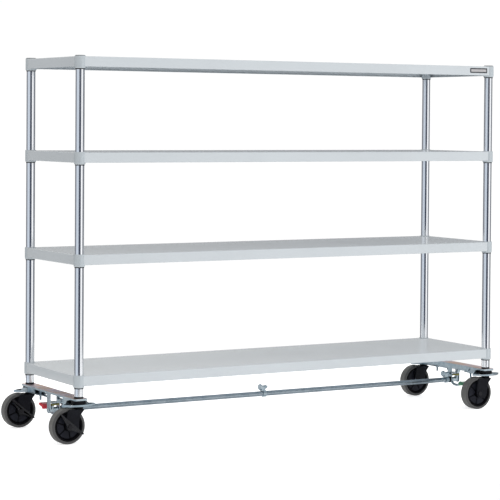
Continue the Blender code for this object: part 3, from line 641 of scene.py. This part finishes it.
def caster_head():
    height = head_top - head_bottom
    dome = head_radius - head_top_radius
    middle = head_bottom + height * skirt_share
    profile = [(0, head_low.z), (spigot_radius, head_low.z), (spigot_radius, head_bottom),
               (head_radius * underside_share, head_bottom)]
    profile += arc((head_radius - race_groove, middle - 2 * race_groove), race_groove,
                   -70, 90, 5)
    profile += [(head_radius - 2 * race_groove, middle - race_groove / 2)]
    profile += arc((head_radius - 2 * race_groove, middle), race_groove, -60, 0, 3)
    profile += [(head_top_radius + (dome - race_groove) * math.cos(math.radians(angle)),
                 middle + height * dome_share * math.sin(math.radians(angle)))
                for angle in dome_angles]
    profile += [(head_top_radius, head_top), (stem_radius, head_top),
                (stem_radius, head_high.z), (0, head_high.z)]
    return turned(profile, 64, "caster_head", smooth_angle=40)


black_nylon = moulded_black("black_nylon", (0.006, 0.006, 0.008, 1), 0.30)
plain_head = caster_head()
for end, side, x, y in corners:
    head = copy_at(plain_head, f"caster_head_{side}_{end}_nylon", (x, y, 0))
    dress(head, black_nylon, "rack", "black_nylon", f"caster_head_{side}_{end}")
bpy.data.objects.remove(plain_head, do_unlink=True)

# Forks. One moulding of black glass-filled nylon, with a round neck that turns on the
# head's spigot and two broad legs that lean back to the axle.
fork_edge = 0.9 * mm
fork_nylon = moulded_black("fork_nylon", (0.006, 0.0065, 0.009, 1), 0.38)
for end, side, x, y in corners:
    fork = refined(f"caster_fork_{side}_{end}", f"caster_fork_{side}_{end}_nylon", fork_edge)
    dress(fork, fork_nylon, f"caster_{side}_{end}", "black_nylon",
          f"caster_fork_{side}_{end}")

# Wheels. A black nylon centre turns on a black steel bolt with a nut, and carries a grey
# rubber tyre with rounded shoulders. Each side of its disc has six raised panels with
# radial gaps between them, inside a deep round groove.
tyre_low, tyre_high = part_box("wheel_tyre_front_left")
wheel_radius = (tyre_high.z - tyre_low.z) / 2
wheel_width = tyre_high.y - tyre_low.y
wheel_shift = (tyre_low.x + tyre_high.x) / 2 - corners[0][2]
tyre_inner = 52.8 * mm
tyre_shoulder = 5 * mm
bead_radius = 0.5 * mm
rim_outer = 52.5 * mm
rim_half = wheel_width / 2 - 1.5 * mm
rim_wall = 6 * mm
hub_radius = 14.5 * mm
hub_half = wheel_width / 2 + 1.3 * mm
axle_radius = 5 * mm
axle_room = 0.3 * mm
disc_half = 12 * mm
disc_floor = 8.8 * mm
panel_inner = 16 * mm
panel_outer = 42.5 * mm
panel_gap = 4.6 * mm
panel_edge = 0.5 * mm
panel_count = 6
rim_chamfer = 0.6 * mm
axle_head_radius = 8.5 * mm
axle_head_height = 3.4 * mm
axle_nut_height = 5.5 * mm
axle_chamfer = 1 * mm
leg_outer = wheel_width / 2 + 8.1 * mm
lever_room = 4.3 * mm
side_from = wheel_width / 2 - 4 * mm
side_full = wheel_width / 2 - 1.5 * mm
tread_dark = (0.100, 0.100, 0.098, 1)
tread_light = (0.120, 0.120, 0.116, 1)
side_dark = (0.064, 0.064, 0.065, 1)
rubber_cloud_scale = 25
rubber_grain_scale = 1500
rubber_grain_depth = 0.02 * mm
rest_turns = {"front_left": 20, "rear_left": 39, "front_right": 41, "rear_right": 8}
to_y = Matrix.Rotation(-math.pi / 2, 4, "X")


def grey_rubber():
    """Matt rubber, darker on the tyre's two sides than on its tread."""
    material, shader, place = new_finish("grey_rubber")
    cloud = place.noise(rubber_cloud_scale, 3.0)
    grain = place.noise(rubber_grain_scale)
    from_wheel = abs(abs(place.axis("Y")) - post_y)
    tread = cloud.between(0.3, 0.7).blend(tread_dark, tread_light)
    feed(shader, Base_Color=from_wheel.between(side_from, side_full).blend(tread, side_dark),
         Roughness=0.55 + 0.15 * cloud, Normal=grain.relief(rubber_grain_depth, 0.5))
    return material


def mirrored(half):
    """A profile's upper half and its mirror image, in one loop."""
    return half + [(radius, -height) for radius, height in reversed(half)]


def tyre():
    edge = wheel_width / 2
    half = [(tyre_inner, edge - bead_radius)]
    half += arc((tyre_inner + bead_radius, edge - bead_radius), bead_radius, 180, 30, 4)
    half += arc((wheel_radius - tyre_shoulder, edge - tyre_shoulder), tyre_shoulder, 84, 6, 7)
    return turned(mirrored(half), 112, "tyre", hollow=True)


def rim():
    groove_outer = rim_outer - rim_wall
    half = [(axle_radius + axle_room, hub_half), (hub_radius - rim_chamfer, hub_half),
            (hub_radius, hub_half - rim_chamfer), (hub_radius, disc_floor),
            (panel_outer + rim_chamfer, disc_floor), (groove_outer, rim_half - rim_chamfer),
            (groove_outer + rim_chamfer, rim_half), (rim_outer - rim_chamfer, rim_half),
            (rim_outer, rim_half - rim_chamfer)]
    return turned(mirrored(half), 96, "rim", hollow=True)


def panels():
    """Twelve ring sectors, six on each side of the disc, with straight gaps between them."""
    bm = bmesh.new()
    steps = 8
    for index in range(panel_count):
        outline = []
        for radius, way in ((panel_inner, 1), (panel_outer, -1)):
            half = math.pi / panel_count - math.asin(panel_gap / 2 / radius)
            for step in range(steps + 1):
                angle = math.tau * (index + 0.5) / panel_count
                angle += way * half * (2 * step / steps - 1)
                outline.append((radius * math.cos(angle), radius * math.sin(angle)))
        for low, high in ((disc_floor - panel_edge, disc_half),
                          (-disc_floor + panel_edge, -disc_half)):
            face = bm.faces.new([bm.verts.new((x, y, low)) for x, y in outline])
            grown = bmesh.ops.extrude_face_region(bm, geom=[face])
            verts = [item for item in grown["geom"] if isinstance(item, bmesh.types.BMVert)]
            bmesh.ops.translate(bm, vec=(0, 0, high - low), verts=verts)
    bmesh.ops.recalc_face_normals(bm, faces=bm.faces)
    round_edges(bm, [edge for edge in bm.edges if edge.calc_face_angle() > 1], panel_edge)
    return even_shading(settled(bm, "panels"))


def axle(head_face):
    """The axle bolt, its round head towards -Z and its nut on the leg's far side."""
    head_end = head_face + axle_room + axle_head_height
    far_low, far_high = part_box("wheel_axle_front_left")
    far_end = (far_high.y - far_low.y) / 2
    profile = [(0, -head_end)]
    profile += arc((axle_head_radius - axle_chamfer, -head_end + axle_chamfer), axle_chamfer,
                   -90, 0, 4)
    profile += [(axle_head_radius, -head_face - axle_room),
                (axle_radius, -head_face - axle_room), (axle_radius, leg_outer)]
    profile += threads(leg_outer + axle_nut_height, far_end - axle_chamfer, axle_radius)
    profile += [(axle_radius - axle_chamfer, far_end), (0, far_end)]
    bolt = turned(profile, 40, "axle")
    bm = bmesh.new()
    bm.from_mesh(bolt.data)
    bpy.data.objects.remove(bolt, do_unlink=True)
    nut(bm, axle_head_radius, leg_outer + axle_room, leg_outer + axle_room + axle_nut_height)
    return even_shading(settled(bm, "axle"))


rubber = grey_rubber()
# Painted shade: the rim is a darker black than the panels of the same moulding, so that the
# gaps between the panels read as deep shade.
rim_shaded_nylon = moulded_black("rim_shaded_nylon", (0.0025, 0.0025, 0.0035, 1), 0.40, 0.06)
panel_nylon = moulded_black("panel_nylon", (0.009, 0.010, 0.015, 1), 0.34, 0.11)
black_steel = moulded_black("black_steel", (0.012, 0.012, 0.014, 1), 0.30)
plain_tyre, plain_rim, plain_panels = tyre(), rim(), panels()
plain_axles = {"left": axle(leg_outer + lever_room), "right": axle(leg_outer)}
helpers = [plain_tyre, plain_rim, plain_panels, *plain_axles.values()]
for helper in helpers:
    helper.data.transform(to_y)
for end, side, x, y in corners:
    corner = f"{side}_{end}"
    centre = (x + wheel_shift, y, wheel_radius)
    turn = Matrix.Rotation(math.radians(rest_turns[corner]), 4, "Y")
    for plain, part, finish, body, slot, nodes in (
            (plain_tyre, "tyre", rubber, "wheel", "grey_rubber", ("wheel_tyre",)),
            (plain_rim, "rim", rim_shaded_nylon, "wheel", "wheel_nylon", ("wheel_rim",)),
            (plain_panels, "panels", panel_nylon, "wheel", "wheel_nylon", ()),
            (plain_axles[end], "axle", black_steel, "caster", "black_steel",
             ("wheel_axle",))):
        made = copy_at(plain, f"wheel_{part}_{corner}_made", (0, 0, 0))
        if part == "panels":
            made.data.transform(turn)
        made.data.transform(Matrix.Translation(centre))
        dress(made, finish, f"{body}_{corner}", slot, *(f"{node}_{corner}" for node in nodes))
for helper in helpers:
    bpy.data.objects.remove(helper, do_unlink=True)

# Wheel levers. A moulded black rocker crosses the front face of each left-hand wheel
# and turns on the axle bolt, to be pushed down by foot on either arm.
lever_edge = 0.5 * mm
lever_nylon = moulded_black("lever_nylon", (0.007, 0.0075, 0.010, 1), 0.24, 0.34)
for side in ("front", "rear"):
    lever = refined(f"wheel_lever_{side}_left", f"wheel_lever_{side}_left_moulded", lever_edge)
    dress(lever, lever_nylon, f"wheel_brake_lever_{side}_left", "black_nylon",
          f"wheel_lever_{side}_left")

# Ring levers. A pointed loop of zinc plated steel lies round each caster head, with a
# pressed neck on the stud and a tail that ends over the pin of the crank.
ring_edge = 0.45 * mm
for end, side, x, y in corners:
    lever = refined(f"ring_lever_{side}_{end}", f"ring_lever_{side}_{end}_plated", ring_edge)
    dress(lever, zinc, f"ring_lever_body_{side}_{end}", "zinc_plating",
          f"ring_lever_{side}_{end}")

# Brake tubes. Two long zinc plated tubes run under the bottom shelf from the middle
# coupling to the crank shafts, each pushed over the plug of a shaft.
tube_wall = 1.5 * mm
tube_chamfer = 0.3 * mm
# Painted shade: the tubes' zinc is darker than the other plating, standing in for the dark
# reflections along them.
tube_shaded_blue = (0.30, 0.36, 0.41, 1)
tube_shaded_pale = (0.38, 0.44, 0.49, 1)
to_x = Matrix.Rotation(math.pi / 2, 4, "Y")


def brake_tube(low, high):
    radius = (high.z - low.z) / 2
    inner = radius - tube_wall
    piece = turned([
        (inner, low.x), (radius - tube_chamfer, low.x), (radius, low.x + tube_chamfer),
        (radius, high.x - tube_chamfer), (radius - tube_chamfer, high.x), (inner, high.x),
    ], 48, "tube", hollow=True)
    piece.data.transform(to_x)
    return piece


# A darker copy of the zinc, as painted shade for the tubes' reflections.
tube_shaded_zinc = zinc_plating("zinc_tube_shaded", blue=tube_shaded_blue, pale=tube_shaded_pale, smooth=0.12)
for end in ("left", "right"):
    low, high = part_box(f"brake_tube_{end}")
    plain_tube = brake_tube(low, high)
    shaft_height = (low.z + high.z) / 2
    tube = copy_at(plain_tube, f"brake_tube_{end}_drawn", (0, 0, shaft_height))
    dress(tube, tube_shaded_zinc, "brake_shaft", "zinc_plating", f"brake_tube_{end}")
    bpy.data.objects.remove(plain_tube, do_unlink=True)

# Crank shafts and couplings. Each zinc plated shaft turns in the two cheeks of a beam,
# with a yellow passivated crank pin, and a black bush beside the inner cheek. A lug with
# a large hexagonal bolt clamps each coupling on the tubes.
shaft_edge = 0.4 * mm
bush_outer = 12 * mm
bush_inner = 9.8 * mm
bush_length = 7 * mm
bush_gap = 0.6 * mm
cheek_half = 20 * mm
pin_radius = 4 * mm
pin_yellow = (0.24, 0.225, 0.09, 1)


def crank_zinc(name, pin_y, pin_z):
    """Zinc plating, with the yellow passivated pin at one place of the crank."""
    material, shader, place = new_finish(name, metallic=1.0)
    cloud = place.noise(zinc_cloud_scale, 3.0)
    off_y = place.axis("Y") - pin_y
    off_z = place.axis("Z") - pin_z
    from_pin = (off_y * off_y + off_z * off_z) ** 0.5
    on_pin = from_pin.between(1.5 * pin_radius, 1.25 * pin_radius)
    plain = cloud.between(0.35, 0.65).blend(zinc_blue, zinc_pale)
    feed(shader, Base_Color=on_pin.blend(plain, pin_yellow), Roughness=0.26 + cloud * 0.16)
    return material


for end in ("left", "right"):
    shaft = refined(f"crank_shaft_{end}", f"crank_shaft_{end}_plated", shaft_edge)
    crest = max((vert.co for vert in shaft.data.vertices), key=lambda point: point.z)
    finish = crank_zinc(f"zinc_crank_{end}", crest.y, crest.z - pin_radius)
    dress(shaft, finish, "brake_shaft", "zinc_plating", f"crank_shaft_{end}")
for which in ("left", "middle", "right"):
    clamp = refined(f"tube_coupling_{which}", f"tube_coupling_{which}_plated", shaft_edge)
    dress(clamp, zinc, "brake_shaft", "zinc_plating", f"tube_coupling_{which}")


def bush():
    half = bush_length / 2
    outer = bush_outer - tube_chamfer
    piece = turned([(bush_inner, -half), (outer, -half), (bush_outer, -half + tube_chamfer),
                    (bush_outer, half - tube_chamfer), (outer, half), (bush_inner, half)],
                   48, "bush", hollow=True)
    piece.data.transform(to_x)
    return piece


plain_bush = bush()
for end, sign in (("left", 1), ("right", -1)):
    centre = rack_x - sign * post_x + sign * (cheek_half + bush_gap + bush_length / 2)
    ring = copy_at(plain_bush, f"crank_shaft_{end}_bush", (centre, 0, shaft_height))
    dress(ring, black_steel, "brake_shaft", "black_nylon")
bpy.data.objects.remove(plain_bush, do_unlink=True)

# Pedals. A round bar is bent under each shaft and up again, with a moulded pad pressed
# on its end: red to lock the casters and green to release them.
bar_radius = 5 * mm
bar_reach = 56 * mm
bar_drop = 17 * mm
bar_offset = 5 * mm
bar_shares = ((0, -0.59), (0, -0.75), (0.13, -0.96), (0.42, -1.01), (0.68, -0.84),
              (0.84, -0.35), (0.94, -0.06), (1.0, -0.05))
pad_edge = 0.7 * mm
pedal_tilt = math.radians(7)
lock_red = (0.62, 0.035, 0.05, 1)
lock_red_deep = (0.52, 0.025, 0.04, 1)
release_green = (0.05, 0.24, 0.12, 1)
release_green_deep = (0.04, 0.20, 0.10, 1)
pad_cloud_scale = 45
pad_grain_scale = 1200
pad_grain_depth = 0.015 * mm


def pedal_bar(name):
    """A bar swept along a smooth line through the bend's points, in the pedal's own frame."""
    line = bpy.data.curves.new("pedal_bar", "CURVE")
    line.dimensions = "3D"
    line.bevel_depth = bar_radius
    line.bevel_resolution = 6
    line.resolution_u = 6
    line.use_fill_caps = True
    spline = line.splines.new("BEZIER")
    spline.bezier_points.add(len(bar_shares) - 1)
    for point, (y_share, z_share) in zip(spline.bezier_points, bar_shares):
        point.co = (bar_offset, bar_reach * y_share, bar_drop * z_share)
        point.handle_left_type = point.handle_right_type = "AUTO"
    item = bpy.data.objects.new("pedal_line", line)
    bpy.context.scene.collection.objects.link(item)
    graph = bpy.context.evaluated_depsgraph_get()
    bm = bmesh.new()
    bm.from_mesh(bpy.data.meshes.new_from_object(item.evaluated_get(graph)))
    bpy.data.objects.remove(item, do_unlink=True)
    return settled(bm, name, 50)


def moulded_colour(name, colour, deeper):
    """A bright moulded plastic with a thin gloss over it."""
    material, shader, place = new_finish(name, coat=0.15)
    cloud = place.noise(pad_cloud_scale)
    grain = place.noise(pad_grain_scale)
    feed(shader, Base_Color=cloud.between(0.3, 0.7).blend(colour, deeper),
         Roughness=0.34 + 0.12 * cloud, Normal=grain.relief(pad_grain_depth, 0.5))
    return material


for end, sign, purpose, slot, colour, deeper in (
        ("left", -1, "lock", "red_plastic", lock_red, lock_red_deep),
        ("right", 1, "release", "green_plastic", release_green, release_green_deep)):
    finish = moulded_colour("pad_" + slot, colour, deeper)
    bar = pedal_bar(f"pedal_bar_{end}_bent")
    facing = Matrix.Rotation(math.pi if sign > 0 else 0, 4, "Z")
    centre = Matrix.Translation((rack_x + sign * post_x, 0, shaft_height))
    bar.data.transform(centre @ facing @ Matrix.Rotation(-sign * pedal_tilt, 4, "X"))
    dress(bar, zinc, "brake_shaft", "zinc_plating", f"pedal_bar_{end}")
    pad = refined(f"pedal_pad_{purpose}", f"pedal_pad_{purpose}_moulded", pad_edge,
                  sharper_than=25)
    dress(pad, finish, "brake_shaft", slot, f"pedal_pad_{purpose}")

# Name plate. A thin plastic plate with nothing on it is stuck near the right end of the
# top shelf's front: a pale field in a dark border.
plate_length = 82 * mm
plate_height = 19 * mm
plate_thickness = 0.5 * mm
plate_border = 4.6 * mm
plate_right = 37 * mm
plate_middle = 1326 * mm
field_proud = 0.2 * mm
border_dark = (0.035, 0.04, 0.05, 1)
border_darker = (0.03, 0.034, 0.042, 1)
field_pale = (0.45, 0.44, 0.45, 1)
field_shade = (0.42, 0.41, 0.42, 1)


def plain_plate(name, half_length, half_height, near, far, finish):
    """A thin upright slab with rounded corners, from one depth to another."""
    bm = bmesh.new()
    middle = shelf_high.x - collar_proud - plate_right - plate_length / 2
    box_between(bm, (middle - half_length, near, plate_middle - half_height),
                (middle + half_length, far, plate_middle + half_height))
    through = [edge for edge in bm.edges
               if abs(edge.verts[0].co.y - edge.verts[1].co.y) > (far - near) / 2]
    round_edges(bm, through, plate_border / 2, 4)
    dress(settled(bm, name), finish, "rack", "light_grey_paint")


shelf_front = -tray_depth / 2
plain_plate("name_plate_border", plate_length / 2, plate_height / 2,
            shelf_front - plate_thickness, shelf_front,
            moulded_colour("plate_border", border_dark, border_darker))
plain_plate("name_plate_field", plate_length / 2 - plate_border,
            plate_height / 2 - plate_border, shelf_front - plate_thickness - field_proud,
            shelf_front - plate_thickness / 2,
            moulded_colour("plate_field", field_pale, field_shade))

# Studio. A white floor and soft light from all round. The camera sees white behind the
# rack, and shiny pieces reflect a room with a dark side, a bright panel and a plain
# upper part.
camera_place = (-3.72998, -6.25194, 1.12055)
camera_yaw = math.radians(30.449)
camera_pitch = math.radians(1.587)
camera_roll = math.radians(0.4092)
focal_pixels = 1924.895
image_pixels = 500
sensor_width = 36
view_shift = -0.15
floor_half = 1.5
white = (1, 1, 1, 1)


def studio_camera():
    lens = bpy.data.cameras.new("camera")
    lens.sensor_width = sensor_width
    lens.lens = focal_pixels / image_pixels * sensor_width
    lens.shift_y = view_shift
    lens.clip_start = 0.1
    lens.clip_end = 100
    camera = bpy.data.objects.new("camera", lens)
    bpy.context.scene.collection.objects.link(camera)
    ahead = Vector((math.sin(camera_yaw) * math.cos(camera_pitch),
                    math.cos(camera_yaw) * math.cos(camera_pitch), -math.sin(camera_pitch)))
    level = Vector((math.cos(camera_yaw), -math.sin(camera_yaw), 0))
    upright = level.cross(ahead)
    right = level * math.cos(camera_roll) + upright * math.sin(camera_roll)
    up = upright * math.cos(camera_roll) - level * math.sin(camera_roll)
    turn = Matrix((right, up, -ahead)).transposed().to_4x4()
    camera.matrix_world = Matrix.Translation(camera_place) @ turn
    bpy.context.scene.camera = camera


def ray_kind(tree, kind):
    """Whether a ray is of one kind: Camera, Diffuse or Glossy."""
    path = tree.nodes.new("ShaderNodeLightPath")
    return Wire(tree, path.outputs[f"Is {kind} Ray"])


def room_stops():
    """The room's brightness round the rack, as bearings from the camera's own side."""
    grey, pale_blue = (0.31, 0.32, 0.35, 1), (0.64, 0.70, 0.78, 1)
    dark, panel = (0.045, 0.055, 0.085, 1), (1.1, 1.1, 1.1, 1)
    dusk = (0.19, 0.20, 0.22, 1)
    toward_camera = 0.5 + (math.degrees(camera_yaw) - 180) / 360
    bearings = ((-170, dusk), (-120, dusk), (-88, grey), (-76, pale_blue), (-20, pale_blue),
                (-12, dark), (33, dark), (42, panel), (76, panel), (86, grey), (115, dusk),
                (170, dusk))
    stops = [((toward_camera - bearing / 360) % 1, colour) for bearing, colour in bearings]
    return sorted(stops)


def studio_room():
    """White for the camera, soft light for matt surfaces, and a room for shiny ones."""
    world = bpy.data.worlds.new("studio")
    bpy.context.scene.world = world
    world.use_nodes = True
    tree = world.node_tree
    background = tree.nodes["Background"]
    coordinates = tree.nodes.new("ShaderNodeTexCoord")
    way = Wire(tree, coordinates.outputs["Generated"])
    across, along, rise = (way.axis(letter) for letter in "XYZ")
    turn = way.combine("ARCTAN2", across, along) * (0.5 / math.pi) + 0.5
    walls = turn.node("ShaderNodeValToRGB", {"stops": room_stops()}, {0: turn})
    upper_room = across.between(0.42, 0.64).blend((0.74, 0.74, 0.73, 1), (0.50, 0.50, 0.50, 1))
    reflected = rise.between(0.03, 0.13).blend(walls, upper_room)
    from_left = across.between(-1.0, 0.2).blend((0.67, 0.66, 0.65, 1), white)
    from_below = rise.between(-0.7, 0.0).blend((1.5, 1.5, 1.5, 1), white)
    soft = way.node("ShaderNodeMix", {"data_type": "RGBA", "blend_type": "MULTIPLY"},
                    {0: 1.0, 6: from_left, 7: from_below}, output=2)
    plainly_seen = ray_kind(tree, "Camera").blend(soft, white)
    seen = ray_kind(tree, "Glossy").blend(plainly_seen, reflected)
    tree.links.new(seen.socket, background.inputs["Color"])
    background.inputs["Strength"].default_value = 1.02


def studio_floor():
    material, shader, place = new_finish("floor")
    shader.inputs["Roughness"].default_value = 0.9
    shader.inputs["Emission Strength"].default_value = 0.6
    bounce = ray_kind(place.tree, "Diffuse").blend((0.1, 0.1, 0.1, 1), (0.8, 0.8, 0.8, 1))
    cloud = place.noise(0.6, 1.0)
    feed(shader, Base_Color=cloud.blend((0.84, 0.84, 0.84, 1), (0.86, 0.86, 0.86, 1)),
         Emission_Color=ray_kind(place.tree, "Camera").blend(bounce, white))
    bm = bmesh.new()
    bmesh.ops.create_grid(bm, x_segments=1, y_segments=1, size=floor_half)
    floor = settled(bm, "floor")
    floor.data.materials.append(material)


def soft_light(name, place, aim, size, power):
    lamp = bpy.data.lights.new(name, "AREA")
    lamp.size = size
    lamp.energy = power
    item = bpy.data.objects.new(name, lamp)
    bpy.context.scene.collection.objects.link(item)
    item.visible_glossy = False
    item.location = place
    item.rotation_euler = (Vector(aim) - Vector(place)).to_track_quat("-Z", "Y").to_euler()


studio_camera()
studio_room()
studio_floor()
soft_light("overhead", place=(0, -1, 5), aim=(0, 0, 0.5), size=4, power=35)
soft_light("front_right", place=(3.5, -5, 4), aim=(0, 0, 1.2), size=3, power=50)
soft_light("rear", place=(2.4, 5, 3), aim=(0, 0, 0.6), size=4, power=75)
bpy.context.scene.view_settings.view_transform = "Standard"
